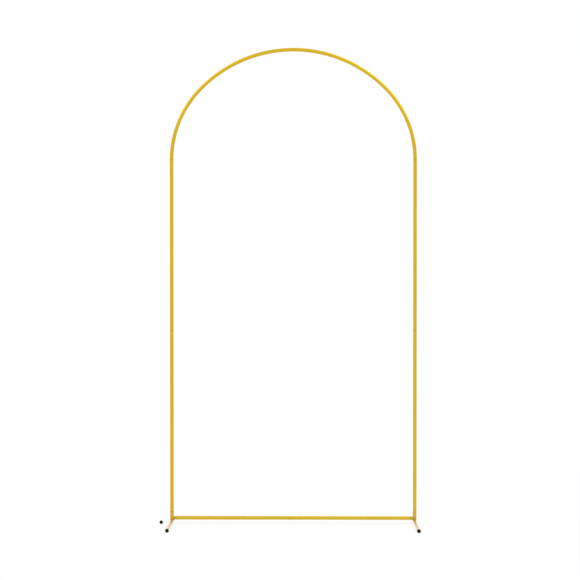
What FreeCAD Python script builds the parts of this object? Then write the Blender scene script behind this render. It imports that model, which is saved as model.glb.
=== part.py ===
import FreeCAD
import Part
import Sketcher
import os

# A free-standing wedding arch of slim round tube. Two uprights in two lengths stand on
# front-to-back foot bars, a two-piece crossbar ties the feet together just above the floor,
# and two bent tubes meet at the crown of a slightly flattened round arch. The tubes butt end
# to end over short spigots that sit inside them.
#
# Millimetres. X runs from the left foot to the right one, Y from the front to the back and Z
# up. The origin is on the floor, midway between the uprights.

# Driving dimensions
SIZES = [
    ("post_spacing", 1084, "between the axes of the two uprights"),
    ("tube_diameter", 16, "outside of every tube"),
    ("tube_wall", 1, "wall of every tube"),
    ("base_seam_height", 44, "joint between a foot post and its lower upright"),
    ("mid_seam_height", 861, "joint between the two lengths of an upright"),
    ("spring_height", 1620, "joint where the straight upright ends and the arch begins"),
    ("shoulder_centre_inset", 92, "centre of a shoulder's bend, out from the arch's middle"),
    ("crown_centre_sink", 88, "centre of the crown's bend, below the spring line"),
    ("seam_gap", 0.5, "open line left between two tube ends"),
    ("rim_chamfer", 0.3, "chamfer round the cut end of a straight tube"),
    ("spigot_wall", 1.2, "wall of the inner sleeves"),
    ("spigot_clearance", 0.05, "all round, between a spigot and the tube over it"),
    ("spigot_chamfer", 0.5, "lead-in round both ends of a straight spigot"),
    ("spigot_depth", 45, "how far a spigot reaches into a long tube"),
    ("base_spigot_depth", 26, "how far the base spigot reaches down into the foot post"),
    ("crossbar_height", 23, "axis of the crossbar above the floor"),
    ("crossbar_seam_inset", 12, "from the upright's axis to the end of the crossbar's stub"),
    ("crossbar_seam_offset", 16, "crossbar's middle joint, left of the arch's middle"),
    ("lock_hole_diameter", 4.2, "holes for the screws that lock the feet to the tubes"),
    ("lock_hole_setback", 8, "from a tube's end to the middle of its lock hole"),
    ("foot_front_reach", 245, "from the upright's axis to a foot's front end"),
    ("foot_rear_reach", 80, "from the upright's axis to a foot's rear end"),
    ("weld_gap", 0.1, "between a coped tube end and the tube it is welded to"),
    ("cope_start", 3, "from the carrying tube's axis to the tips of a coped end"),
    ("cap_overhang", 0.3, "how far an end cap's head stands out past the tube, all round"),
    ("cap_head_length", 5, "head of an end cap, outside the tube"),
    ("cap_rounding", 2, "rounded rim of the head"),
    ("cap_tread", 0.25, "depth of the flat under the head"),
    ("cap_clearance", 0.05, "between an end cap and its tube"),
    ("cap_stem_length", 16, "stem inside the tube, from the head's back to its tip"),
    ("cap_rib_height", 1.5, "from the stem's core to the top of its ribs"),
    ("cap_rib_thickness", 1, "rib that grips the tube's bore"),
    ("screw_diameter", 4, "shank of the left foot's clamp screw"),
    ("screw_clearance", 0.1, "all round the shank in the foot bar and the knob"),
    ("screw_forward", 30, "clamp screw in front of the upright"),
    ("screw_inset", 5, "how far the shank's tip stops short of the foot bar's axis"),
    ("knob_reach", 45, "from the foot bar's axis to the middle of the knob"),
    ("knob_diameter", 16, "ball knob on the clamp screw"),
    ("knob_neck_diameter", 9, "flat face of the knob round the shank"),
    ("knob_bore_depth", 9, "how deep the shank sits in the knob"),
]
CAP_RIBS = 4

doc = FreeCAD.newDocument("WeddingArch")
sheet = doc.addObject("Spreadsheet::Sheet", "Sizes")
for row, (alias, value, meaning) in enumerate(SIZES, start=1):
    sheet.set(f"A{row}", meaning)
    sheet.set(f"B{row}", str(value))
    sheet.setAlias(f"B{row}", alias)
doc.recompute()

# Sizes that follow from the driving ones
HALF_SPACING = "(Sizes.post_spacing / 2)"
TUBE_BORE = "(Sizes.tube_diameter - 2 * Sizes.tube_wall)"
SPIGOT_OUTER = f"({TUBE_BORE} - 2 * Sizes.spigot_clearance)"
SPIGOT_BORE = f"({SPIGOT_OUTER} - 2 * Sizes.spigot_wall)"
SHOULDER_RADIUS = f"({HALF_SPACING} - Sizes.shoulder_centre_inset)"
CENTRE_DISTANCE = "sqrt(Sizes.shoulder_centre_inset ^ 2 + Sizes.crown_centre_sink ^ 2)"
CROWN_RADIUS = f"({SHOULDER_RADIUS} + {CENTRE_DISTANCE})"
CROWN_HEIGHT = f"(Sizes.spring_height + {CROWN_RADIUS} - Sizes.crown_centre_sink)"
CROSSBAR_SEAM = f"({HALF_SPACING} - Sizes.crossbar_seam_inset)"
CAP_DIAMETER = "(Sizes.tube_diameter + 2 * Sizes.cap_overhang)"
CAP_RIB_DIAMETER = f"({TUBE_BORE} - 2 * Sizes.cap_clearance)"
CAP_RIB_PITCH = f"(Sizes.cap_stem_length / {CAP_RIBS + 1})"
CAP_SEAT = "(Sizes.cap_head_length + Sizes.cap_clearance)"
FOOT_BAR_FRONT = f"(Sizes.foot_front_reach - {CAP_SEAT})"
FOOT_BAR_LENGTH = f"({FOOT_BAR_FRONT} + Sizes.foot_rear_reach - {CAP_SEAT})"
FOOT_HEIGHT = f"({CAP_DIAMETER} / 2 - Sizes.cap_tread)"
SCREW_HOLE = "(Sizes.screw_diameter + 2 * Sizes.screw_clearance)"
KNOB_FLAT = "sqrt((Sizes.knob_diameter / 2) ^ 2 - (Sizes.knob_neck_diameter / 2) ^ 2)"

# Ways that a piece's own Z axis is turned
ORIGIN = FreeCAD.Vector(0, 0, 0)
NORMAL = FreeCAD.Vector(0, 0, 1)
UPWARD = FreeCAD.Rotation()
HALF_TURN = FreeCAD.Rotation(NORMAL, 180)
ALONG_X = FreeCAD.Rotation(FreeCAD.Vector(1, 1, 1), 120)
ALONG_Y = FreeCAD.Rotation(FreeCAD.Vector(1, 0, 0), -90)

# The left side's pieces face the middle as drawn, the right side's after half a turn
SIDES = {"left": (-1, UPWARD), "right": (1, HALF_TURN)}

pieces = []


# Helpers for bodies and sketches
def value_of(expression):
    """What an expression comes to, with the sizes as they stand."""
    return float(sheet.evalExpression(expression))


def fall_away(radius, run):
    """How far a circle has left its tangent, that far along the tangent."""
    return radius - (radius**2 - run**2) ** 0.5


def new_body(label):
    body = doc.addObject("PartDesign::Body", label)
    body.Label = label
    pieces.append(body)
    return body


def place(body, turn, across="0", along="0", up="0"):
    """Turns a piece from its own axes and sets it at a point given by expressions."""
    body.Placement = FreeCAD.Placement(ORIGIN, turn)
    body.setExpression("Placement.Base.x", across)
    body.setExpression("Placement.Base.y", along)
    body.setExpression("Placement.Base.z", up)


def new_sketch(body, name, role, **offset):
    """A sketch on one of the body's own planes, moved by expressions for x, y or z."""
    sketch = body.newObject("Sketcher::SketchObject", f"{body.Label}_{name}")
    plane = next(item for item in body.Origin.OriginFeatures if item.Role == role)
    sketch.AttachmentSupport = (plane, "")
    sketch.MapMode = "FlatFace"
    for axis, expression in offset.items():
        sketch.setExpression(f"AttachmentOffset.Base.{axis}", expression)
    return sketch


def dimension(sketch, name, expression, kind, *places):
    """Adds a dimension to a sketch and ties it to the sheet."""
    index = sketch.addConstraint(Sketcher.Constraint(kind, *places, value_of(expression)))
    sketch.renameConstraint(index, name)
    sketch.setExpression(f".Constraints.{name}", expression)


def constrain(sketch, *rules):
    for rule in rules:
        sketch.addConstraint(Sketcher.Constraint(*rule))


def add_circle(sketch, name, diameter):
    """A circle round the sketch's origin."""
    shape = Part.Circle(ORIGIN, NORMAL, value_of(diameter) / 2)
    index = sketch.addGeometry(shape, False)
    constrain(sketch, ("Coincident", index, 3, -1, 1))
    dimension(sketch, name, diameter, "Diameter", index)


def add_ring(sketch, outer, bore):
    add_circle(sketch, "outer", outer)
    add_circle(sketch, "bore", bore)


def add_rectangle(sketch, width, height):
    """A rectangle that stands on the sketch's X axis, with its middle on the Y axis."""
    half = value_of(width) / 2
    top = value_of(height)
    corners = [(-half, 0), (half, 0), (half, top), (-half, top)]
    points = [FreeCAD.Vector(*corner, 0) for corner in corners]
    for index in range(4):
        sketch.addGeometry(Part.LineSegment(points[index - 1], points[index]), False)
    for index in range(4):
        constrain(sketch, ("Coincident", index - 1 if index else 3, 2, index, 1))
    constrain(sketch, ("Vertical", 0), ("Horizontal", 1), ("Vertical", 2), ("Horizontal", 3))
    constrain(sketch, ("Symmetric", 1, 1, 1, 2, -1, 1))
    dimension(sketch, "width", width, "DistanceX", 1, 1, 1, 2)
    dimension(sketch, "height", height, "DistanceY", 2, 1, 2, 2)


def arc(centre, radius, start, end):
    """An arc from one point to another, clockwise as the sketch is seen from its front."""
    circle = Part.Circle(centre, NORMAL, radius)
    return Part.ArcOfCircle(circle, circle.parameter(end), circle.parameter(start))


def add_pad(body, sketch, length):
    pad = body.newObject("PartDesign::Pad", f"{sketch.Label}_pad")
    pad.Profile = sketch
    pad.setExpression("Length", length)
    return pad


def add_pocket(body, sketch, length, both_ways=False, forward=False):
    """Cuts a sketch's outline out of a body, behind or in front of it, and checks that it cuts."""
    doc.recompute()
    before = body.Shape.Volume
    pocket = body.newObject("PartDesign::Pocket", f"{sketch.Label}_pocket")
    pocket.Profile = sketch
    pocket.Midplane = both_ways
    pocket.Reversed = forward
    pocket.setExpression("Length", length)
    doc.recompute()
    if body.Shape.Volume >= before:
        raise RuntimeError(f"{sketch.Label} cuts nothing")


def add_sweep(body, ring, path):
    """A bent tube: a ring carried along every edge of a path."""
    pipe = body.newObject("PartDesign::AdditivePipe", f"{body.Label}_sweep")
    pipe.Profile = ring
    pipe.Spine = (path, [f"Edge{index + 1}" for index in range(path.GeometryCount)])


def chamfer_rims(body, size="Sizes.rim_chamfer"):
    """Chamfers the outer rim of each flat, round end that a tube has."""
    doc.recompute()
    tube = body.Tip
    ends = [face for face in tube.Shape.Faces if isinstance(face.Surface, Part.Plane)]
    rims = [face.OuterWire.Edges[0] for face in ends if len(face.OuterWire.Edges) == 1]
    chamfer = body.newObject("PartDesign::Chamfer", f"{body.Label}_rims")
    chamfer.Base = (tube, [
        f"Edge{index}"
        for index, edge in enumerate(tube.Shape.Edges, start=1)
        if any(edge.isSame(rim) for rim in rims)
    ])
    chamfer.setExpression("Size", size)


def plain_tube(label, length, outer="Sizes.tube_diameter", bore=TUBE_BORE, start="0"):
    """A round tube up its own Z axis."""
    body = new_body(label)
    ring = new_sketch(body, "ring", "XY_Plane", z=start)
    add_ring(ring, outer, bore)
    add_pad(body, ring, length)
    return body


def straight_tube(label, length):
    """A tube of the frame, cut square at both ends."""
    body = plain_tube(label, length)
    chamfer_rims(body)
    return body


def coped_tube(label, length):
    """A tube whose lower end is cut to a saddle, to sit on a tube along its own Y axis."""
    body = plain_tube(label, f"{length} - Sizes.cope_start", start="Sizes.cope_start")
    saddle = new_sketch(body, "saddle", "XZ_Plane")
    add_circle(saddle, "saddle", "Sizes.tube_diameter + 2 * Sizes.weld_gap")
    add_pocket(body, saddle, "2 * Sizes.tube_diameter", both_ways=True)
    chamfer_rims(body)
    return body


def lock_hole(body, role, height, forward):
    """Hole for a lock screw through one wall of a tube, on the arch's front."""
    hole = new_sketch(body, "lock_hole", role, y=height)
    add_circle(hole, "lock_hole", "Sizes.lock_hole_diameter")
    add_pocket(body, hole, "Sizes.tube_diameter", forward=forward)


# Feet
def foot_bar(side, sign):
    """Bar on the floor that reaches far to the front of the upright and a little behind it."""
    bar = straight_tube(f"{side}_foot_bar", FOOT_BAR_LENGTH)
    place(bar, ALONG_Y, f"{sign} * {HALF_SPACING}", f"-{FOOT_BAR_FRONT}", FOOT_HEIGHT)
    return bar


def foot_cap(side, sign, end):
    """Plug in a foot bar's end: a rounded head with a flat tread, and a ribbed stem."""
    cap = new_body(f"{side}_{end}_foot_cap")
    disc = new_sketch(cap, "disc", "XY_Plane")
    add_circle(disc, "disc", CAP_DIAMETER)
    head = add_pad(cap, disc, "Sizes.cap_head_length")
    doc.recompute()
    middle = value_of("Sizes.cap_head_length / 2")
    rim_edges = [
        f"Edge{index}"
        for index, edge in enumerate(head.Shape.Edges, start=1)
        if edge.Closed and edge.BoundBox.ZMax < middle
    ]
    rim = cap.newObject("PartDesign::Fillet", f"{cap.Label}_rim")
    rim.Base = (head, rim_edges)
    rim.setExpression("Radius", "Sizes.cap_rounding")

    tread = new_sketch(cap, "tread", "XZ_Plane", z=f"-{FOOT_HEIGHT}")
    add_rectangle(tread, CAP_DIAMETER, "Sizes.cap_head_length")
    add_pocket(cap, tread, "2 * Sizes.cap_tread")

    stem = new_sketch(cap, "stem", "XY_Plane", z="Sizes.cap_head_length")
    add_circle(stem, "stem", f"{CAP_RIB_DIAMETER} - 2 * Sizes.cap_rib_height")
    add_pad(cap, stem, "Sizes.cap_stem_length")
    rib = new_sketch(cap, "rib", "XY_Plane", z=f"Sizes.cap_head_length + {CAP_RIB_PITCH}")
    add_circle(rib, "rib", CAP_RIB_DIAMETER)
    first_rib = add_pad(cap, rib, "Sizes.cap_rib_thickness")
    row = cap.newObject("PartDesign::LinearPattern", f"{cap.Label}_ribs")
    row.Originals = [first_rib]
    row.Direction = (rib, ["N_Axis"])
    row.Occurrences = CAP_RIBS
    row.setExpression("Length", f"{CAP_RIBS - 1} * {CAP_RIB_PITCH}")
    cap.Tip = row

    across = f"{sign} * {HALF_SPACING}"
    if end == "front":
        place(cap, ALONG_Y, across, "-Sizes.foot_front_reach", FOOT_HEIGHT)
    else:
        place(cap, HALF_TURN * ALONG_Y, across, "Sizes.foot_rear_reach", FOOT_HEIGHT)


def foot_post(side, sign):
    """Short post welded on the foot bar, with its lower end coped over it."""
    length = f"(Sizes.base_seam_height - {FOOT_HEIGHT} - Sizes.seam_gap)"
    post = coped_tube(f"{side}_foot_post", length)
    place(post, UPWARD, f"{sign} * {HALF_SPACING}", up=FOOT_HEIGHT)


def crossbar_stub(side, sign, inward):
    """Short tube welded to the foot post, which carries one end of the crossbar."""
    stub = coped_tube(f"{side}_crossbar_stub", "Sizes.crossbar_seam_inset")
    turn = inward * ALONG_X
    place(stub, turn, f"{sign} * {HALF_SPACING}", up="Sizes.crossbar_height")


def clamp_screw():
    """Shank that enters the left foot bar from outside, and the ball knob on its end."""
    outward = HALF_TURN * ALONG_X
    shank = new_body("left_clamp_screw")
    disc = new_sketch(shank, "disc", "XY_Plane", z="Sizes.screw_inset")
    add_circle(disc, "shank", "Sizes.screw_diameter")
    into_knob = f"(Sizes.knob_reach - {KNOB_FLAT} + Sizes.knob_bore_depth)"
    add_pad(shank, disc, f"{into_knob} - Sizes.screw_inset")
    place(shank, outward, f"-{HALF_SPACING}", "-Sizes.screw_forward", FOOT_HEIGHT)

    knob = new_body("left_clamp_knob")
    radius = value_of("Sizes.knob_diameter / 2")
    neck = value_of("Sizes.knob_neck_diameter / 2")
    flat = value_of(KNOB_FLAT)
    top = FreeCAD.Vector(0, radius, 0)
    rim = FreeCAD.Vector(neck, -flat, 0)
    middle = FreeCAD.Vector(0, -flat, 0)
    half = new_sketch(knob, "half", "XZ_Plane")
    half.addGeometry(arc(ORIGIN, radius, top, rim), False)
    half.addGeometry(Part.LineSegment(rim, middle), False)
    half.addGeometry(Part.LineSegment(middle, top), False)
    constrain(half, ("Coincident", 0, 3, -1, 1), ("Coincident", 0, 1, 1, 1))
    constrain(half, ("Coincident", 1, 2, 2, 1), ("Coincident", 2, 2, 0, 2), ("Horizontal", 1))
    constrain(half, ("PointOnObject", 2, 1, -2), ("PointOnObject", 2, 2, -2))
    dimension(half, "ball", "Sizes.knob_diameter / 2", "Radius", 0)
    dimension(half, "neck", "Sizes.knob_neck_diameter / 2", "DistanceX", 1, 2, 1, 1)
    ball = knob.newObject("PartDesign::Revolution", "left_clamp_knob_ball")
    ball.Profile = half
    ball.ReferenceAxis = (half, ["V_Axis"])
    ball.Angle = 360
    bore = new_sketch(knob, "bore", "XY_Plane", z=f"-{KNOB_FLAT}")
    add_circle(bore, "bore", SCREW_HOLE)
    add_pocket(knob, bore, "Sizes.knob_bore_depth", forward=True)
    reach = f"-({HALF_SPACING} + Sizes.knob_reach)"
    place(knob, outward, reach, "-Sizes.screw_forward", FOOT_HEIGHT)


def clamp_screw_hole(bar):
    """Hole in the foot bar's outer wall for the clamp screw."""
    hole = new_sketch(bar, "hole", "YZ_Plane", y=f"{FOOT_BAR_FRONT} - Sizes.screw_forward")
    add_circle(hole, "hole", SCREW_HOLE)
    add_pocket(bar, hole, "Sizes.tube_diameter")


# Uprights
def uprights(side, sign):
    """Lower and upper length of one upright, the lower one locked to its foot by a screw."""
    across = f"{sign} * {HALF_SPACING}"
    heights = ["Sizes.base_seam_height", "Sizes.mid_seam_height", "Sizes.spring_height"]
    for name, low, high in zip(("lower", "upper"), heights, heights[1:]):
        tube = straight_tube(f"{side}_{name}_upright", f"{high} - {low} - Sizes.seam_gap")
        if name == "lower":
            lock_hole(tube, "XZ_Plane", "Sizes.lock_hole_setback", forward=True)
        place(tube, UPWARD, across, up=low)


# Crossbar
def crossbar(side, sign, inward):
    """One length of the crossbar, from its stub to the joint near the middle."""
    length = f"({CROSSBAR_SEAM} - 1.5 * Sizes.seam_gap + {sign} * Sizes.crossbar_seam_offset)"
    bar = straight_tube(f"{side}_crossbar", length)
    lock_hole(bar, "YZ_Plane", "Sizes.lock_hole_setback", forward=sign > 0)
    across = f"{sign} * ({CROSSBAR_SEAM} - Sizes.seam_gap)"
    place(bar, inward * ALONG_X, across, up="Sizes.crossbar_height")


# Arch
def arch_tube(side, inward):
    """Half of the arch: a tight bend at the shoulder that runs into a wide one at the crown."""
    tube = new_body(f"{side}_arch_tube")
    shoulder_radius = value_of(SHOULDER_RADIUS)
    crown_radius = value_of(CROWN_RADIUS)
    half_gap = value_of("Sizes.seam_gap / 2")
    shoulder = FreeCAD.Vector(-value_of("Sizes.shoulder_centre_inset"), 0, 0)
    crown = FreeCAD.Vector(0, -value_of("Sizes.crown_centre_sink"), 0)
    foot = FreeCAD.Vector(-value_of(HALF_SPACING), 0, 0)
    meeting = crown + (shoulder - crown).normalize() * crown_radius
    fall = fall_away(crown_radius, half_gap)
    top = crown + FreeCAD.Vector(-half_gap, crown_radius - fall, 0)

    path = new_sketch(tube, "path", "XZ_Plane")
    path.addGeometry(arc(shoulder, shoulder_radius, foot, meeting), False)
    path.addGeometry(arc(crown, crown_radius, meeting, top), False)
    constrain(path, ("PointOnObject", 0, 3, -1), ("PointOnObject", 0, 2, -1))
    constrain(path, ("PointOnObject", 1, 3, -2), ("Tangent", 0, 1, 1, 2))
    dimension(path, "shoulder", SHOULDER_RADIUS, "Radius", 0)
    dimension(path, "inset", "Sizes.shoulder_centre_inset", "DistanceX", 0, 3, -1, 1)
    dimension(path, "sink", "Sizes.crown_centre_sink", "DistanceY", 1, 3, -1, 1)
    dimension(path, "half_gap", "Sizes.seam_gap / 2", "DistanceX", 1, 1, -1, 1)

    ring = new_sketch(tube, "ring", "XY_Plane", x=f"-{HALF_SPACING}")
    add_ring(ring, "Sizes.tube_diameter", TUBE_BORE)
    add_sweep(tube, ring, path)
    place(tube, inward, up="Sizes.spring_height")


# Spigots inside the joints
def straight_spigot(label, below, above):
    """Sleeve that reaches that far below and above its own origin."""
    sleeve = plain_tube(label, f"{below} + {above}", SPIGOT_OUTER, SPIGOT_BORE, f"-{below}")
    chamfer_rims(sleeve, "Sizes.spigot_chamfer")
    return sleeve


def upright_spigots(side, sign):
    across = f"{sign} * {HALF_SPACING}"
    base = straight_spigot(f"{side}_base_spigot", "Sizes.base_spigot_depth", "Sizes.spigot_depth")
    lock_hole(base, "XZ_Plane", "Sizes.lock_hole_setback", forward=True)
    place(base, UPWARD, across, up="Sizes.base_seam_height")
    mid = straight_spigot(f"{side}_mid_spigot", "Sizes.spigot_depth", "Sizes.spigot_depth")
    place(mid, UPWARD, across, up="Sizes.mid_seam_height")


def crossbar_end_spigot(side, sign, inward):
    """Sleeve from the foot post's wall, through the stub and into the crossbar."""
    stub_depth = "(Sizes.crossbar_seam_inset - Sizes.tube_diameter / 2 - Sizes.weld_gap)"
    sleeve = straight_spigot(f"{side}_crossbar_spigot", stub_depth, "Sizes.spigot_depth")
    setback = "Sizes.seam_gap + Sizes.lock_hole_setback"
    lock_hole(sleeve, "YZ_Plane", setback, forward=sign > 0)
    across = f"{sign} * {CROSSBAR_SEAM}"
    place(sleeve, inward * ALONG_X, across, up="Sizes.crossbar_height")


def crossbar_middle_spigot():
    depth = "Sizes.spigot_depth"
    sleeve = straight_spigot("crossbar_middle_spigot", depth, depth)
    place(sleeve, ALONG_X, "-Sizes.crossbar_seam_offset", up="Sizes.crossbar_height")


def shoulder_spigot(side, sign, inward):
    """Sleeve at the spring line: straight in the upright, bent in the arch's tube."""
    sleeve = new_body(f"{side}_shoulder_spigot")
    radius = value_of(SHOULDER_RADIUS)
    depth = value_of("Sizes.spigot_depth")
    centre = FreeCAD.Vector(radius, 0, 0)
    bottom = FreeCAD.Vector(0, -depth, 0)
    tip = FreeCAD.Vector(fall_away(radius, depth), depth, 0)

    path = new_sketch(sleeve, "path", "XZ_Plane")
    path.addGeometry(Part.LineSegment(bottom, ORIGIN), False)
    path.addGeometry(arc(centre, radius, ORIGIN, tip), False)
    constrain(path, ("Coincident", 0, 2, -1, 1), ("Vertical", 0), ("Tangent", 0, 2, 1, 2))
    dimension(path, "below", "Sizes.spigot_depth", "DistanceY", 0, 1, 0, 2)
    dimension(path, "bend", SHOULDER_RADIUS, "Radius", 1)
    dimension(path, "above", "Sizes.spigot_depth", "DistanceY", -1, 1, 1, 1)

    ring = new_sketch(sleeve, "ring", "XY_Plane", z="-Sizes.spigot_depth")
    add_ring(ring, SPIGOT_OUTER, SPIGOT_BORE)
    add_sweep(sleeve, ring, path)
    place(sleeve, inward, f"{sign} * {HALF_SPACING}", up="Sizes.spring_height")


def crown_spigot():
    """Bent sleeve that joins the two halves of the arch at the top."""
    sleeve = new_body("crown_spigot")
    radius = value_of(CROWN_RADIUS)
    depth = value_of("Sizes.spigot_depth")
    fall = fall_away(radius, depth)
    centre = FreeCAD.Vector(0, -radius, 0)
    left = FreeCAD.Vector(-depth, -fall, 0)
    right = FreeCAD.Vector(depth, -fall, 0)

    path = new_sketch(sleeve, "path", "XZ_Plane")
    path.addGeometry(arc(centre, radius, left, right), False)
    constrain(path, ("PointOnObject", 0, 3, -2))
    dimension(path, "radius", CROWN_RADIUS, "Radius", 0)
    dimension(path, "sink", CROWN_RADIUS, "DistanceY", 0, 3, -1, 1)
    dimension(path, "left", "Sizes.spigot_depth", "DistanceX", 0, 2, -1, 1)
    dimension(path, "right", "Sizes.spigot_depth", "DistanceX", -1, 1, 0, 1)

    ring = new_sketch(sleeve, "ring", "YZ_Plane")
    add_ring(ring, SPIGOT_OUTER, SPIGOT_BORE)
    add_sweep(sleeve, ring, path)
    place(sleeve, UPWARD, up=CROWN_HEIGHT)


# The whole arch
for side, (sign, inward) in SIDES.items():
    bar = foot_bar(side, sign)
    if side == "left":
        clamp_screw_hole(bar)
    foot_cap(side, sign, "front")
    foot_cap(side, sign, "rear")
    foot_post(side, sign)
    crossbar_stub(side, sign, inward)
    uprights(side, sign)
    upright_spigots(side, sign)
    crossbar(side, sign, inward)
    crossbar_end_spigot(side, sign, inward)
    arch_tube(side, inward)
    shoulder_spigot(side, sign, inward)
crossbar_middle_spigot()
crown_spigot()
clamp_screw()
doc.recompute()

for item in doc.Objects:
    if {"Invalid", "Error"} & set(item.State):
        raise RuntimeError(f"{item.Label} did not recompute: {item.State}")
for piece in pieces:
    if piece.Shape.isNull() or not piece.Shape.isValid() or len(piece.Shape.Solids) != 1:
        raise RuntimeError(f"{piece.Label} is not one valid solid")

os.makedirs("parts", exist_ok=True)
for piece in pieces:
    piece.Shape.exportStep(f"parts/{piece.Label}.step")
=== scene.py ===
import math

import bmesh
import bpy
from mathutils import Matrix, Vector, noise


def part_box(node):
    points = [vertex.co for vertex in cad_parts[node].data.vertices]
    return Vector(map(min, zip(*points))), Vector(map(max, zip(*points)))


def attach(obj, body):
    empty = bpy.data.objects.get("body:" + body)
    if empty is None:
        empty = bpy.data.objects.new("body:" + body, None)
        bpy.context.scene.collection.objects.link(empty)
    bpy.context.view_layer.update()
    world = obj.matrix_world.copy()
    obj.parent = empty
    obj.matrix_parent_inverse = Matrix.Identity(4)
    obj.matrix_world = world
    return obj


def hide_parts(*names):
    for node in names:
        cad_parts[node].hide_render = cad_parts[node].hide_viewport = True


# The finished look of a gold wedding arch: its paint, rubber, plastic and steel, its weld
# beads and lock screws, a pale studio floor, soft light and the camera. Metres, Z up, the
# front of the arch faces -Y.

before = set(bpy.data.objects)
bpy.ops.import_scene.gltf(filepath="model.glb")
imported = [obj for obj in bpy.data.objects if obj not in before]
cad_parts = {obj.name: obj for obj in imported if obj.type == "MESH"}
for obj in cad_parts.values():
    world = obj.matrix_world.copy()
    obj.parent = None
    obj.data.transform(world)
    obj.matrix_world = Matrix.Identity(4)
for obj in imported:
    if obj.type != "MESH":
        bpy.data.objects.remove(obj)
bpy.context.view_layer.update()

MILLIMETRE = 0.001

# Places read from the frame
UPRIGHT_LOW, UPRIGHT_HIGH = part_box("right_upper_upright")
FOOT_LOW, FOOT_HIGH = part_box("right_foot_bar")
STUB_LOW, STUB_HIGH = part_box("right_crossbar_stub")
SHANK_LOW, SHANK_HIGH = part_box("left_clamp_screw")

TUBE_RADIUS = (UPRIGHT_HIGH.x - UPRIGHT_LOW.x) / 2
HALF_SPACING = (UPRIGHT_HIGH.x + UPRIGHT_LOW.x) / 2
FOOT_HEIGHT = (FOOT_HIGH.z + FOOT_LOW.z) / 2
CROSSBAR_HEIGHT = (STUB_HIGH.z + STUB_LOW.z) / 2
BASE_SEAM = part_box("right_foot_post")[1].z
MID_SEAM = UPRIGHT_LOW.z
SPRING_SEAM = UPRIGHT_HIGH.z
CROSSBAR_END_SEAM = STUB_LOW.x
CROSSBAR_MIDDLE_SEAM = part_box("left_crossbar")[1].x

# Camera, fitted to the photograph's 580 pixel frame
PHOTO_SIDE = 580
FOCAL_PIXELS = 1458.9
CAMERA_PLACE = (0.0455, -6.5, 1.1385)
CAMERA_TURN = math.radians(0.529)
CAMERA_TILT = math.radians(-0.860)

# Colours, linear
GOLD = (0.690, 0.464, 0.019)
GOLD_DEEP = (0.668, 0.444, 0.016)
GOLD_FLAKE = (0.84, 0.62, 0.10)
GOLD_SHADED = (0.46, 0.29, 0.012)
GOLD_RUBBED = (0.50, 0.31, 0.012)
BARE_STEEL = (0.42, 0.40, 0.37)
# Painted shade: dark brown laid where each post meets its foot bar
GOLD_PAINTED_SHADE = (0.34, 0.21, 0.008)
# Pale dust, which also paints a sheen onto the upward faces low down
DUST_AND_SHEEN = (0.60, 0.57, 0.50)

# Gloss of the gold paint: roughness where it clouds, coat and tint of its grazing edge
SATIN = {"rough": (0.23, 0.28), "coat": 0.05, "coat_rough": 0.08, "edge": (0.93, 0.74, 0.22, 1)}
LACQUERED = {"rough": (0.14, 0.18), "coat": 1.0, "coat_rough": 0.05, "edge": (1, 1, 1, 1)}
THINLY_LACQUERED = {"rough": (0.18, 0.23), "coat": 0.5, "coat_rough": 0.06, "edge": (0.98, 0.88, 0.60, 1)}

# Stretch of a grain that runs no way in particular
EVEN_GRAIN = (1, 1, 1)


# Shader node helpers
def new_material(name):
    """A material with an empty node tree but for its output and one principled shader."""
    material = bpy.data.materials.new(name)
    material.use_nodes = True
    tree = material.node_tree
    tree.nodes.clear()
    output = tree.nodes.new("ShaderNodeOutputMaterial")
    shader = tree.nodes.new("ShaderNodeBsdfPrincipled")
    tree.links.new(shader.outputs["BSDF"], output.inputs["Surface"])
    return material, tree, shader


def feed(tree, socket, value):
    """Links a socket to another one, or sets its own value."""
    if isinstance(value, bpy.types.NodeSocket):
        tree.links.new(value, socket)
    else:
        socket.default_value = value


def maths(tree, operation, first, second=0.0, clamp=False):
    made = tree.nodes.new("ShaderNodeMath")
    made.operation = operation
    made.use_clamp = clamp
    feed(tree, made.inputs[0], first)
    feed(tree, made.inputs[1], second)
    return made.outputs[0]


def mix_colours(tree, share, first, second):
    made = tree.nodes.new("ShaderNodeMix")
    made.data_type = "RGBA"
    feed(tree, made.inputs[0], share)
    for socket, colour in ((made.inputs[6], first), (made.inputs[7], second)):
        feed(tree, socket, colour if isinstance(colour, bpy.types.NodeSocket) else (*colour, 1))
    return made.outputs[2]


def ramp(tree, value, low, high, to_low=0.0, to_high=1.0):
    """Value mapped smoothly from low..high to to_low..to_high."""
    made = tree.nodes.new("ShaderNodeMapRange")
    made.interpolation_type = "SMOOTHSTEP"
    for name, number in zip(("From Min", "From Max", "To Min", "To Max"), (low, high, to_low, to_high)):
        made.inputs[name].default_value = number
    feed(tree, made.inputs["Value"], value)
    return made.outputs["Result"]


def place_of(tree, stretch=EVEN_GRAIN):
    """The point's own place in metres, with each axis stretched."""
    where = tree.nodes.new("ShaderNodeTexCoord")
    mapping = tree.nodes.new("ShaderNodeMapping")
    mapping.inputs["Scale"].default_value = stretch
    tree.links.new(where.outputs["Object"], mapping.inputs["Vector"])
    return mapping.outputs["Vector"]


def axes_of(tree):
    split = tree.nodes.new("ShaderNodeSeparateXYZ")
    tree.links.new(place_of(tree), split.inputs[0])
    return {"x": split.outputs[0], "y": split.outputs[1], "z": split.outputs[2]}


def facing_up(tree):
    """The upward part of the surface's direction, from -1 to 1."""
    surface = tree.nodes.new("ShaderNodeNewGeometry")
    split = tree.nodes.new("ShaderNodeSeparateXYZ")
    tree.links.new(surface.outputs["Normal"], split.inputs[0])
    return split.outputs[2]


def distance(tree, *parts):
    """Square root of the sum of the parts' squares."""
    total = 0.0
    for part in parts:
        total = maths(tree, "ADD", maths(tree, "MULTIPLY", part, part), total)
    return maths(tree, "SQRT", total)


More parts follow.
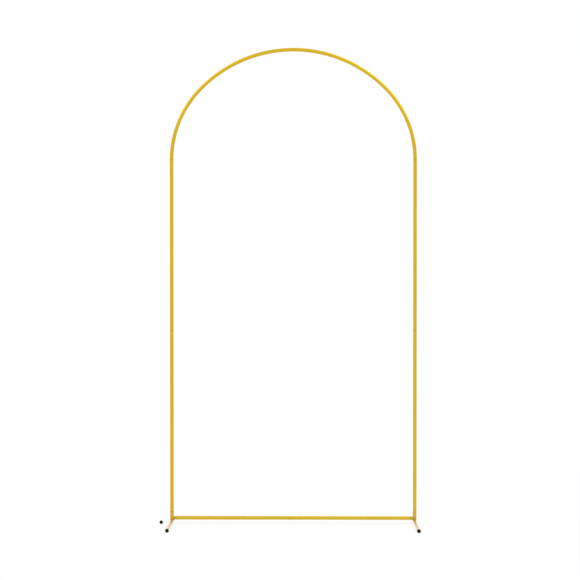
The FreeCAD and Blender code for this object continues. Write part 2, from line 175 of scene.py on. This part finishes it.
def from_foot_axis(tree, axes):
    """How far a point lies sideways and upwards from its own foot bar's axis."""
    across = maths(tree, "SUBTRACT", maths(tree, "ABSOLUTE", axes["x"]), HALF_SPACING)
    return across, maths(tree, "SUBTRACT", axes["z"], FOOT_HEIGHT)


def noise_at(tree, where, scale, detail, roughness=0.5):
    made = tree.nodes.new("ShaderNodeTexNoise")
    made.inputs["Scale"].default_value = scale
    made.inputs["Detail"].default_value = detail
    made.inputs["Roughness"].default_value = roughness
    tree.links.new(where, made.inputs["Vector"])
    return made.outputs["Fac"]


def bump(tree, height, depth, below=None):
    """Raises the surface by up to a depth in metres."""
    made = tree.nodes.new("ShaderNodeBump")
    made.inputs["Strength"].default_value = 1.0
    made.inputs["Distance"].default_value = depth
    tree.links.new(height, made.inputs["Height"])
    if below is not None:
        tree.links.new(below, made.inputs["Normal"])
    return made.outputs["Normal"]


# The scales of noise below are in cycles a metre. A range holds the lowest and highest value that
# it maps, then what they come to, where that isn't 0 and 1.

# Gold powder paint
METAL_SHARE = 0.9
CLOUD_SCALE = 6
CLOUD_COLOURS = (0.35, 0.65)
CLOUD_GLOSS = (0.3, 0.7)
FLAKE_SCALE = 2600
BRIGHT_FLAKES = (0.54, 0.72, 0, 0.45)
DARK_FLAKES = (0.46, 0.30, 0, 0.45)
PEEL_SCALE = 420
HAIRLINE_SCALE = 900
HAIRLINE_COLOURS = (0.60, 0.72, 0, 0.35)
HAIRLINE_PATCHES = (0.4, 0.6)
HAIRLINE_ROUGHNESS = (0.62, 0.80, 0, 0.06)
HAIRLINE_RELIEF = 0.25
HAIRLINES_ALONG = {"x": (0.03, 1, 1), "y": (1, 0.03, 1), "z": (1, 1, 0.03)}
PAINT_RELIEF = 0.009 * MILLIMETRE

# Dust and painted sheen on the gold, and painted shade where each post meets its foot bar
SPECKLE_SCALE = 160
DUST_AND_SHEEN_LEVEL = (8 * MILLIMETRE, 40 * MILLIMETRE, 0.18, 0)
DUST_AND_SHEEN_SLOPE = (-0.3, 0.9)
DUST_AND_SHEEN_SPECKLES = (0.30, 0.65, 0.3, 1)
DUST_ROUGHNESS = 0.3
# Painted shade where each post meets its foot bar: its reach, its patches and how far it runs along the
# bar
JOINT_SHADE_REACH = (10 * MILLIMETRE, 32 * MILLIMETRE, 1, 0)
JOINT_SHADE_SPECKLES = (0.2, 0.8, 0.25, 0.45)
JOINT_SHADE_ALONG_BAR = 0.4

# Wear at the ends of the gold tubes
RUB_REACH = 14 * MILLIMETRE
RUB_SPECKLES = (0.2, 0.7, 0.06, 0.22)
RUB_ROUGHNESS = 0.08
CHIP_SCALE = 900
CHIP_REACH = 1.3 * MILLIMETRE
CHIP_EDGE = (0.50, 0.54)
CHIP_DEPTH = 0.06 * MILLIMETRE


def seam_share(tree, axes, seams, reach):
    """One at a tube's end, falling to nothing at that reach from it."""
    total = 0.0
    for axis, place in seams:
        away = maths(tree, "ABSOLUTE", maths(tree, "SUBTRACT", axes[axis], place))
        total = maths(tree, "ADD", ramp(tree, away, 0, reach, 1, 0), total, clamp=True)
    return total


def near_foot_joint(tree, axes):
    """One where a post is welded to its foot bar, falling to nothing along the bar and up the post."""
    along = maths(tree, "MULTIPLY", axes["y"], JOINT_SHADE_ALONG_BAR)
    away = distance(tree, along, *from_foot_axis(tree, axes))
    return ramp(tree, away, *JOINT_SHADE_REACH)


def gold_paint(name, gloss, seams=(), grain=EVEN_GRAIN):
    """Metallic paint with flakes, hairlines and orange peel, dusty with a painted sheen low down, worn at
    tube ends, and, unless satin, with painted shade where a post meets its foot bar.
    """
    material, tree, shader = new_material(name)
    axes = axes_of(tree)
    where = place_of(tree)
    clouds = noise_at(tree, where, CLOUD_SCALE, detail=3)
    flakes = noise_at(tree, where, FLAKE_SCALE, detail=1)
    peel = noise_at(tree, where, PEEL_SCALE, detail=2)
    hairlines = noise_at(tree, place_of(tree, grain), HAIRLINE_SCALE, detail=2, roughness=0.6)
    speckle = noise_at(tree, where, SPECKLE_SCALE, detail=4, roughness=0.7)

    colour = mix_colours(tree, ramp(tree, clouds, *CLOUD_COLOURS), GOLD_DEEP, GOLD)
    colour = mix_colours(tree, ramp(tree, flakes, *BRIGHT_FLAKES), colour, GOLD_FLAKE)
    colour = mix_colours(tree, ramp(tree, flakes, *DARK_FLAKES), colour, GOLD_SHADED)
    scratched = ramp(tree, hairlines, *HAIRLINE_COLOURS)
    scratched = maths(tree, "MULTIPLY", scratched, ramp(tree, clouds, *HAIRLINE_PATCHES))
    colour = mix_colours(tree, scratched, colour, GOLD_FLAKE)
    rough = ramp(tree, clouds, *CLOUD_GLOSS, *gloss["rough"])
    rough = maths(tree, "ADD", rough, ramp(tree, hairlines, *HAIRLINE_ROUGHNESS))

    # Pale dust on upward faces low down, also standing in for a painted sheen there
    low_down = ramp(tree, axes["z"], *DUST_AND_SHEEN_LEVEL)
    low_upward_faces = maths(tree, "MULTIPLY", low_down, ramp(tree, facing_up(tree), *DUST_AND_SHEEN_SLOPE))
    dust_and_sheen = maths(tree, "MULTIPLY", low_upward_faces, ramp(tree, speckle, *DUST_AND_SHEEN_SPECKLES))
    colour = mix_colours(tree, dust_and_sheen, colour, DUST_AND_SHEEN)
    rough = maths(tree, "ADD", rough, maths(tree, "MULTIPLY", dust_and_sheen, DUST_ROUGHNESS))

    if gloss is not SATIN:
        # Painted shade in patches where a post meets its foot bar, on all but the satin finishes
        patchy = ramp(tree, speckle, *JOINT_SHADE_SPECKLES)
        joint_shade = maths(tree, "MULTIPLY", near_foot_joint(tree, axes), patchy)
        colour = mix_colours(tree, joint_shade, colour, GOLD_PAINTED_SHADE)

    height = maths(tree, "ADD", peel, maths(tree, "MULTIPLY", hairlines, HAIRLINE_RELIEF))
    normal = bump(tree, height, PAINT_RELIEF)

    if seams:
        rubbed = seam_share(tree, axes, seams, RUB_REACH)
        smears = maths(tree, "MULTIPLY", rubbed, ramp(tree, speckle, *RUB_SPECKLES))
        colour = mix_colours(tree, smears, colour, GOLD_RUBBED)
        rough = maths(tree, "ADD", rough, maths(tree, "MULTIPLY", rubbed, RUB_ROUGHNESS))
        chips = noise_at(tree, where, CHIP_SCALE, detail=4, roughness=0.65)
        at_rim = seam_share(tree, axes, seams, CHIP_REACH)
        chipped = ramp(tree, maths(tree, "MULTIPLY", at_rim, chips), *CHIP_EDGE)
        colour = mix_colours(tree, chipped, colour, BARE_STEEL)
        normal = bump(tree, maths(tree, "SUBTRACT", 1.0, chipped), CHIP_DEPTH, normal)

    feed(tree, shader.inputs["Base Color"], colour)
    feed(tree, shader.inputs["Roughness"], rough)
    feed(tree, shader.inputs["Normal"], normal)
    shader.inputs["Metallic"].default_value = METAL_SHARE
    shader.inputs["Specular Tint"].default_value = gloss["edge"]
    shader.inputs["Coat Weight"].default_value = gloss["coat"]
    shader.inputs["Coat Roughness"].default_value = gloss["coat_rough"]
    return material


# Rubber of the end caps
RUBBER_COLOUR = (0.0030, 0.0030, 0.0028)
RUBBER_BLOOM = (0.075, 0.070, 0.062)
RUBBER_GRAIN_SCALE = 1500
RUBBER_GRAIN_DEPTH = 0.06 * MILLIMETRE
RUBBER_PATCH_SCALE = 260
RUBBER_ROUGHNESS = (0.3, 0.7, 0.46, 0.62)
RUBBER_SHINE = 0.15
TREAD_LEVEL = (0.0, 1.2 * MILLIMETRE, 0.6, 0)
TREAD_SCUFFS = (0.3, 0.6)
BLOOM_PATCHES = (0.5, 0.8, 0, 0.05)
GATE_RADIUS = 0.7 * MILLIMETRE
MOULD_RING_RADIUS = 5.0 * MILLIMETRE
MOULD_EDGE = 0.4 * MILLIMETRE
MOULD_DEPTH = 0.25 * MILLIMETRE


def rubber():
    """Matt black rubber with a moulded ring and gate mark, scuffed where it treads on the floor."""
    material, tree, shader = new_material("black_rubber_finish")
    axes = axes_of(tree)
    where = place_of(tree)
    speckle = noise_at(tree, where, RUBBER_GRAIN_SCALE, detail=3, roughness=0.6)
    patches = noise_at(tree, where, RUBBER_PATCH_SCALE, detail=4, roughness=0.65)
    tread = ramp(tree, axes["z"], *TREAD_LEVEL)
    scuffed = maths(tree, "MULTIPLY", tread, ramp(tree, patches, *TREAD_SCUFFS))
    bloom = maths(tree, "ADD", scuffed, ramp(tree, patches, *BLOOM_PATCHES), clamp=True)
    feed(tree, shader.inputs["Base Color"], mix_colours(tree, bloom, RUBBER_COLOUR, RUBBER_BLOOM))
    feed(tree, shader.inputs["Roughness"], ramp(tree, patches, *RUBBER_ROUGHNESS))
    away = distance(tree, *from_foot_axis(tree, axes))
    gate = ramp(tree, away, GATE_RADIUS, GATE_RADIUS + MOULD_EDGE, 1, 0)
    from_ring = maths(tree, "ABSOLUTE", maths(tree, "SUBTRACT", away, MOULD_RING_RADIUS))
    ring = ramp(tree, from_ring, 0, MOULD_EDGE, 1, 0)
    moulded = bump(tree, maths(tree, "SUBTRACT", gate, ring), MOULD_DEPTH)
    feed(tree, shader.inputs["Normal"], bump(tree, speckle, RUBBER_GRAIN_DEPTH, moulded))
    shader.inputs["Specular IOR Level"].default_value = RUBBER_SHINE
    return material


# Plastic of the ball knob
PLASTIC_DARK = (0.0015, 0.0015, 0.0018)
PLASTIC_SMUDGED = (0.0035, 0.0035, 0.0038)
HANDLING_SCALE = 2200
HANDLING_STRETCH = (1, 0.12, 1)
HANDLING_DEPTH = 0.012 * MILLIMETRE
SMUDGE_SCALE = 190
PLASTIC_ROUGHNESS = (0.35, 0.7, 0.22, 0.36)
PLASTIC_SHINE = 0.09


def ball_plastic():
    """Black moulded plastic with a soft gloss and fine handling scratches."""
    material, tree, shader = new_material("black_plastic_finish")
    handling = noise_at(tree, place_of(tree, HANDLING_STRETCH), HANDLING_SCALE, detail=3, roughness=0.7)
    smudges = noise_at(tree, place_of(tree), SMUDGE_SCALE, detail=3)
    feed(tree, shader.inputs["Base Color"], mix_colours(tree, smudges, PLASTIC_DARK, PLASTIC_SMUDGED))
    feed(tree, shader.inputs["Roughness"], ramp(tree, smudges, *PLASTIC_ROUGHNESS))
    feed(tree, shader.inputs["Normal"], bump(tree, handling, HANDLING_DEPTH))
    shader.inputs["Specular IOR Level"].default_value = PLASTIC_SHINE
    return material


# Steel of the screws, shank and sleeves
STEEL_CLOUD_SCALE = 260
STEEL_CLOUD_COLOURS = (0.3, 0.7)
STEEL_CLOUD_GLOSS = (0.3, 0.75)
STEEL_GRAIN_SCALE = 1800
GRAIN_ALONG_X = (0.05, 1, 1)
GRAIN_ALONG_Z = (1, 1, 0.05)


def steel(name, bright, dull, rough, grain, depth):
    """Metal with drawn or turned grain along one axis and a cloudy surface."""
    material, tree, shader = new_material(name)
    clouds = noise_at(tree, place_of(tree), STEEL_CLOUD_SCALE, detail=4, roughness=0.6)
    lines = noise_at(tree, place_of(tree, grain), STEEL_GRAIN_SCALE, detail=2, roughness=0.6)
    colour = mix_colours(tree, ramp(tree, clouds, *STEEL_CLOUD_COLOURS), bright, dull)
    feed(tree, shader.inputs["Base Color"], colour)
    feed(tree, shader.inputs["Roughness"], ramp(tree, clouds, *STEEL_CLOUD_GLOSS, *rough))
    feed(tree, shader.inputs["Normal"], bump(tree, lines, depth))
    shader.inputs["Metallic"].default_value = 1.0
    return material


# Meshes
def circle_point(index, count):
    """Cosine and sine of one of that many even steps round a circle."""
    angle = 2 * math.pi * index / count
    return math.cos(angle), math.sin(angle)


def new_piece(name, mesh, material):
    """An object that stands in the arch's own frame and moves with it."""
    for polygon in mesh.polygons:
        polygon.use_smooth = True
    piece = bpy.data.objects.new(name, mesh)
    bpy.context.scene.collection.objects.link(piece)
    mesh.materials.append(material)
    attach(piece, "root")
    return piece


def skin_rings(name, rings, closed):
    """A mesh over rings of points; the last ring meets the first if closed, else ends are capped."""
    made = bmesh.new()
    loops = [[made.verts.new(point) for point in ring] for ring in rings]
    count = len(loops[0])
    pairs = list(zip(loops, loops[1:]))
    if closed:
        pairs.append((loops[-1], loops[0]))
    for near, far in pairs:
        for index in range(count):
            after = (index + 1) % count
            made.faces.new((near[index], near[after], far[after], far[index]))
    if not closed:
        made.faces.new(reversed(loops[0]))
        made.faces.new(loops[-1])
    bmesh.ops.recalc_face_normals(made, faces=made.faces)
    mesh = bpy.data.meshes.new(name)
    made.to_mesh(mesh)
    made.free()
    return mesh


# Weld beads
BEAD_RADIUS = 1.5 * MILLIMETRE
BEAD_PITCH = 1.7 * MILLIMETRE
BEAD_SIDES = 10
BEAD_STEPS = 260
FLUSH_SINK = 1.3 * MILLIMETRE
CORNER_RISE = 0.5 * MILLIMETRE
SLIMMEST_SHARE = 0.86
RIPPLE_SHARE = 0.12
RIPPLE_ROUNDNESS = 0.5
UNEVEN_SHARE = 0.10
UNEVEN_SCALE = 420
WANDER = 0.15 * MILLIMETRE
WANDER_SCALE = 250
WANDER_START = Vector((7, 7, 7))
LOOK_AHEAD = 0.01


def saddle_point(angle):
    """Where two equal tubes meet: the point, and both tubes' outward normals there.

    The carried tube's axis is Z, and the carrying tube's is Y.
    """
    around = Vector((math.cos(angle), math.sin(angle), 0))
    carrier = Vector((math.cos(angle), 0, abs(math.sin(angle))))
    return Vector((around.x, around.y, abs(around.y))) * TUBE_RADIUS, around, carrier


def weld_bead(name, to_frame):
    """A rippled bead along the saddle, proud in its corners and almost flush at its sides."""
    length = 0.0
    rings = []
    before = saddle_point(0)[0]
    for step in range(BEAD_STEPS):
        angle = 2 * math.pi * step / BEAD_STEPS
        point, around, carrier = saddle_point(angle)
        length += (point - before).length
        before = point
        openness = 1 - max(0.0, around.dot(carrier))
        out = (around + carrier).normalized()
        ahead = saddle_point(angle + LOOK_AHEAD)[0] - saddle_point(angle - LOOK_AHEAD)[0]
        ahead.normalize()
        side = ahead.cross(out).normalized()
        ripple = abs(math.sin(math.pi * length / BEAD_PITCH)) ** RIPPLE_ROUNDNESS
        uneven = noise.noise(point * UNEVEN_SCALE)
        radius = BEAD_RADIUS * (SLIMMEST_SHARE + RIPPLE_SHARE * ripple + UNEVEN_SHARE * uneven)
        centre = point + out * (openness * (CORNER_RISE + FLUSH_SINK) - FLUSH_SINK)
        centre += side * noise.noise(point * WANDER_SCALE + WANDER_START) * WANDER
        ring = []
        for index in range(BEAD_SIDES):
            outward, sideways = circle_point(index, BEAD_SIDES)
            ring.append(to_frame @ (centre + (out * outward + side * sideways) * radius))
        rings.append(ring)
    new_piece(name, skin_rings(name, rings, True), gold["foot_joint"])


# Lock screws
HEAD_RADIUS = 3.0 * MILLIMETRE
HEAD_HEIGHT = 1.8 * MILLIMETRE
HEAD_FULLNESS = 3.2
HEAD_SKIRT = 0.9 * MILLIMETRE
RECESS_DEPTH = 1.2 * MILLIMETRE
RECESS_REACH = 1.75 * MILLIMETRE
RECESS_HALF_WIDTH = 0.42 * MILLIMETRE
RECESS_WALL = 0.14 * MILLIMETRE
RECESS_END = 0.4 * MILLIMETRE
RECESS_TAPER = 0.45
HEAD_SIDES = 96
HEAD_RINGS = 30
LOCK_SETBACK = 8 * MILLIMETRE
CROSSBAR_LOCK_SETBACK = 8.5 * MILLIMETRE
LOCK_TURNS = {"left": math.radians(20), "right": math.radians(68)}


def smooth_step(value):
    value = min(1.0, max(0.0, value))
    return value * value * (3 - 2 * value)


def recess_share(x, y):
    """One inside the cross recess, falling to nothing over its walls."""
    narrow, wide = sorted((abs(x), abs(y)))
    wall = smooth_step((RECESS_HALF_WIDTH - narrow) / RECESS_WALL + 0.5)
    return wall * smooth_step((RECESS_REACH - wide) / RECESS_END)


def head_height(x, y):
    """Height of a pan head with a cross recess over its own seat."""
    away = min(1.0, math.hypot(x, y) / HEAD_RADIUS)
    dome = HEAD_HEIGHT * (1 - away**HEAD_FULLNESS) ** (1 / HEAD_FULLNESS)
    shallower = 1 - RECESS_TAPER * max(abs(x), abs(y)) / RECESS_REACH
    return dome - RECESS_DEPTH * recess_share(x, y) * shallower


def lock_screw(name, seat, turn):
    """Pan head screw on the front of a tube, with its cross recess turned by some angle."""
    to_frame = Matrix.Translation(seat) @ Matrix.Rotation(math.pi / 2, 4, "X")
    to_frame = to_frame @ Matrix.Rotation(turn, 4, "Z")
    directions = [circle_point(index, HEAD_SIDES) for index in range(HEAD_SIDES)]
    rings = []
    for step in range(1, HEAD_RINGS + 1):
        radius = HEAD_RADIUS * math.sin(math.pi / 2 * step / HEAD_RINGS)
        spots = [(radius * across, radius * up) for across, up in directions]
        rings.append([to_frame @ Vector((x, y, head_height(x, y))) for x, y in spots])
    rim = [(HEAD_RADIUS * across, HEAD_RADIUS * up) for across, up in directions]
    rings.append([to_frame @ Vector((x, y, -HEAD_SKIRT)) for x, y in rim])

    mesh = skin_rings(name, rings, False)
    new_piece(name, mesh, gilt_steel)
    # The faces inside the cross recess take near-black steel, a painted shade in the recess
    mesh.materials.append(recess_shade_steel)
    to_seat = to_frame.inverted()
    for polygon in mesh.polygons:
        spot = to_seat @ polygon.center
        if recess_share(spot.x, spot.y) > 0.5:
            polygon.material_index = 1


# Clamp screw's shank
THREAD_PITCH = 0.7 * MILLIMETRE
THREAD_DEPTH = 0.38 * MILLIMETRE
THREAD_STEPS = 10
THREAD_SIDES = 36
THREAD_OUTSIDE_BAR = 7 * MILLIMETRE
THREAD_AT_KNOB = 14 * MILLIMETRE
THREAD_RUN_OUT = 1.4 * MILLIMETRE
GROOVE_WIDTH = 1.25
GROOVE_SLOPE = 2.9
CHAMFER_LENGTH = 0.7 * MILLIMETRE
CHAMFER_DEPTH = 0.5 * MILLIMETRE


def clamp_shank(name):
    """Bright round shank, threaded where it enters the foot bar and the knob."""
    length = SHANK_HIGH.x - SHANK_LOW.x
    radius = (SHANK_HIGH.z - SHANK_LOW.z) / 2
    middle = (SHANK_LOW + SHANK_HIGH) / 2
    bar_face = -HALF_SPACING - TUBE_RADIUS - SHANK_LOW.x
    steps = round(length / THREAD_PITCH * THREAD_STEPS)
    rings = []
    for step in range(steps + 1):
        along = length * step / steps
        at_knob = smooth_step((THREAD_AT_KNOB - along) / THREAD_RUN_OUT)
        at_bar = smooth_step((along - bar_face + THREAD_OUTSIDE_BAR) / THREAD_RUN_OUT)
        depth = THREAD_DEPTH * max(at_knob, at_bar)
        from_end = min(along, length - along) / CHAMFER_LENGTH
        chamfered = radius - CHAMFER_DEPTH * (1 - min(1.0, from_end))
        ring = []
        for index in range(THREAD_SIDES):
            phase = (along / THREAD_PITCH - index / THREAD_SIDES) % 1.0
            groove = smooth_step(GROOVE_WIDTH - abs(phase - 0.5) * GROOVE_SLOPE)
            reach = min(radius - depth * groove, chamfered)
            across, up = circle_point(index, THREAD_SIDES)
            ring.append(Vector((SHANK_LOW.x + along, middle.y + reach * across, middle.z + reach * up)))
        rings.append(ring)
    piece = new_piece(name, skin_rings(name, rings, False), chrome)
    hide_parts("left_clamp_screw")


# Boss that the clamp screw turns in
BOSS_SIDES = 64
BOSS_RADIUS = 4.4 * MILLIMETRE
BOSS_HEIGHT = 0.8 * MILLIMETRE
BOSS_SINK = 2.0 * MILLIMETRE
BOSS_EDGE = 0.35 * MILLIMETRE


def threaded_boss(name):
    """Low round boss on the foot bar's outer side that the clamp screw turns in."""
    middle = (SHANK_LOW + SHANK_HIGH) / 2
    face = -HALF_SPACING - TUBE_RADIUS
    inner = (SHANK_HIGH.z - SHANK_LOW.z) / 2
    profile = [
        (inner, BOSS_SINK),
        (inner, BOSS_EDGE - BOSS_HEIGHT),
        (inner + BOSS_EDGE, -BOSS_HEIGHT),
        (BOSS_RADIUS - BOSS_EDGE, -BOSS_HEIGHT),
        (BOSS_RADIUS, BOSS_EDGE - BOSS_HEIGHT),
        (BOSS_RADIUS, BOSS_SINK),
    ]
    around = [circle_point(index, BOSS_SIDES) for index in range(BOSS_SIDES)]
    rings = []
    for radius, depth in profile:
        rings.append([
            Vector((face + depth, middle.y + radius * across, middle.z + radius * up))
            for across, up in around
        ])
    new_piece(name, skin_rings(name, rings, True), gold["foot_joint"])


# Finishes
UPRIGHT_SEAMS = [("z", BASE_SEAM), ("z", MID_SEAM), ("z", SPRING_SEAM)]
CROSSBAR_SEAMS = [("x", CROSSBAR_END_SEAM), ("x", -CROSSBAR_END_SEAM), ("x", CROSSBAR_MIDDLE_SEAM)]
FOOT_SEAMS = [("z", BASE_SEAM), ("x", CROSSBAR_END_SEAM), ("x", -CROSSBAR_END_SEAM)]
gold = {
    "upright": gold_paint("gold_upright_finish", SATIN, UPRIGHT_SEAMS, HAIRLINES_ALONG["z"]),
    "arch": gold_paint("gold_arch_finish", SATIN, [("z", SPRING_SEAM)]),
    "crossbar": gold_paint("gold_crossbar_finish", SATIN, CROSSBAR_SEAMS, HAIRLINES_ALONG["x"]),
    "foot": gold_paint("gold_foot_finish", LACQUERED, (), HAIRLINES_ALONG["y"]),
    "foot_joint": gold_paint("gold_foot_joint_finish", THINLY_LACQUERED, FOOT_SEAMS),
}
black_rubber = rubber()
black_plastic = ball_plastic()
# Near-black steel, laid in the screws' cross recesses as painted shade
recess_shade_steel = steel("recess_shade_finish", bright=(0.020, 0.019, 0.018), dull=(0.045, 0.042, 0.038),
                    rough=(0.30, 0.5), grain=EVEN_GRAIN, depth=0.01 * MILLIMETRE)
gilt_steel = steel("gilt_screw_finish", bright=(0.66, 0.46, 0.06), dull=(0.52, 0.35, 0.04),
                   rough=(0.24, 0.4), grain=EVEN_GRAIN, depth=0.01 * MILLIMETRE)
chrome = steel("chrome_finish", bright=(0.95, 0.95, 0.94), dull=(0.88, 0.88, 0.88),
               rough=(0.05, 0.14), grain=GRAIN_ALONG_X, depth=0.002 * MILLIMETRE)
sleeve_steel = steel("sleeve_finish", bright=(0.66, 0.48, 0.11), dull=(0.52, 0.37, 0.08),
                     rough=(0.4, 0.6), grain=GRAIN_ALONG_Z, depth=0.01 * MILLIMETRE)

FINISHES = (
    ("spigot", sleeve_steel),
    ("foot_cap", black_rubber),
    ("clamp_knob", black_plastic),
    ("clamp_screw", chrome),
    ("arch_tube", gold["arch"]),
    ("foot_bar", gold["foot"]),
    ("foot_post", gold["foot_joint"]),
    ("crossbar_stub", gold["foot_joint"]),
    ("crossbar", gold["crossbar"]),
    ("upright", gold["upright"]),
)


def dress(name, piece):
    """Gives a node the finish of the first kind that its name holds."""
    finish = next(material for kind, material in FINISHES if kind in name)
    for index in range(len(piece.material_slots)):
        piece.material_slots[index].material = finish


for name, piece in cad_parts.items():
    dress(name, piece)

# Added pieces
for side, sign in (("left", -1), ("right", 1)):
    post = Matrix.Translation((sign * HALF_SPACING, 0, FOOT_HEIGHT))
    weld_bead(f"{side}_foot_weld", post)
    stub = Matrix.Translation((sign * HALF_SPACING, 0, CROSSBAR_HEIGHT))
    # The carried tube's Z axis is turned inwards along X, and the carrying tube's Y axis upright
    inward = Matrix(((0, 0, -sign), (1, 0, 0), (0, -sign, 0))).to_4x4()
    weld_bead(f"{side}_crossbar_weld", stub @ inward)
    low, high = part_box(f"{side}_lower_upright")
    seat = Vector((sign * HALF_SPACING, -TUBE_RADIUS, low.z + LOCK_SETBACK))
    lock_screw(f"{side}_upright_lock_screw", seat, LOCK_TURNS[side])
    end = (CROSSBAR_END_SEAM - CROSSBAR_LOCK_SETBACK) * sign
    seat = Vector((end, -TUBE_RADIUS, CROSSBAR_HEIGHT))
    lock_screw(f"{side}_crossbar_lock_screw", seat, LOCK_TURNS[side] * 2)
clamp_shank("left_clamp_screw_shank")
threaded_boss("left_clamp_screw_boss")


# Studio
WORLD_LIGHT = 0.85
FLOOR_RADIUS = 60
FLOOR_SIDES = 128
FLOOR_TONES = ((0.91, 0.91, 0.905), (0.93, 0.93, 0.93))
FLOOR_TONE_SCALE = 3
FLOOR_FADE = (0.7, 2.6, 0.8, 1.0)
SENSOR_WIDTH = 36
FARTHEST_SEEN = 200
# Each lamp's place, the point that it looks at, its side in metres and its power in watts
LAMPS = {
    "key": ((4.5, -1.5, 7.0), (0, 0, 1.0), 5.6, 105),
    "fill": ((-4.8, -1.5, 6.5), (0, 0, 1.0), 5.2, 75),
    "back": ((1.5, 4.6, 4.6), (0, 0, 1.2), 4.0, 55),
}


def either_ray(tree):
    """One for rays from the camera, a gloss or a glass, and nothing for the light on the object."""
    path = tree.nodes.new("ShaderNodeLightPath")
    seen = maths(tree, "MAXIMUM", path.outputs["Is Camera Ray"], path.outputs["Is Glossy Ray"])
    return maths(tree, "MAXIMUM", seen, path.outputs["Is Transmission Ray"])


def studio_world():
    """Even soft light, and a white background where it is seen or mirrored."""
    world = bpy.data.worlds.new("studio")
    world.use_nodes = True
    tree = world.node_tree
    tree.nodes.clear()
    output = tree.nodes.new("ShaderNodeOutputWorld")
    light = tree.nodes.new("ShaderNodeBackground")
    light.inputs["Strength"].default_value = WORLD_LIGHT
    white = tree.nodes.new("ShaderNodeBackground")
    for shader in (light, white):
        shader.inputs["Color"].default_value = (1, 1, 1, 1)
    mixed = tree.nodes.new("ShaderNodeMixShader")
    feed(tree, mixed.inputs[0], either_ray(tree))
    tree.links.new(light.outputs[0], mixed.inputs[1])
    tree.links.new(white.outputs[0], mixed.inputs[2])
    tree.links.new(mixed.outputs[0], output.inputs[0])
    bpy.context.scene.world = world


def studio_floor():
    """Wide pale floor that fades to the white background and keeps a soft shadow."""
    made = bmesh.new()
    bmesh.ops.create_circle(made, cap_ends=True, segments=FLOOR_SIDES, radius=FLOOR_RADIUS)
    mesh = bpy.data.meshes.new("studio_floor")
    made.to_mesh(mesh)
    made.free()
    floor = bpy.data.objects.new("studio_floor", mesh)
    bpy.context.scene.collection.objects.link(floor)

    material = bpy.data.materials.new("pale_floor")
    material.use_nodes = True
    tree = material.node_tree
    tree.nodes.clear()
    output = tree.nodes.new("ShaderNodeOutputMaterial")
    paint = tree.nodes.new("ShaderNodeBsdfDiffuse")
    tone = noise_at(tree, place_of(tree), FLOOR_TONE_SCALE, detail=4)
    feed(tree, paint.inputs["Color"], mix_colours(tree, tone, *FLOOR_TONES))
    glow = tree.nodes.new("ShaderNodeEmission")
    middle = tree.nodes.new("ShaderNodeVectorMath")
    middle.operation = "LENGTH"
    tree.links.new(place_of(tree), middle.inputs[0])
    fade = ramp(tree, middle.outputs["Value"], *FLOOR_FADE)
    share = maths(tree, "MULTIPLY", either_ray(tree), fade)
    mixed = tree.nodes.new("ShaderNodeMixShader")
    feed(tree, mixed.inputs[0], share)
    tree.links.new(paint.outputs[0], mixed.inputs[1])
    tree.links.new(glow.outputs[0], mixed.inputs[2])
    tree.links.new(mixed.outputs[0], output.inputs[0])
    mesh.materials.append(material)


def soft_lamp(name, place, target, side, power):
    """A large square lamp that looks at a target."""
    data = bpy.data.lights.new(name, "AREA")
    data.size = side
    data.energy = power
    lamp = bpy.data.objects.new(name, data)
    lamp.location = place
    lamp.rotation_euler = (Vector(target) - Vector(place)).to_track_quat("-Z", "Y").to_euler()
    bpy.context.scene.collection.objects.link(lamp)


def camera():
    data = bpy.data.cameras.new("camera")
    data.sensor_width = SENSOR_WIDTH
    data.lens = FOCAL_PIXELS / PHOTO_SIDE * data.sensor_width
    data.clip_end = FARTHEST_SEEN
    seen_from = bpy.data.objects.new("camera", data)
    seen_from.location = CAMERA_PLACE
    seen_from.rotation_euler = (math.pi / 2 + CAMERA_TILT, 0, CAMERA_TURN)
    bpy.context.scene.collection.objects.link(seen_from)
    bpy.context.scene.camera = seen_from


studio_world()
studio_floor()
for name, (place, target, side, power) in LAMPS.items():
    soft_lamp(name, place, target, side, power)
camera()
bpy.context.scene.view_settings.view_transform = "Standard"
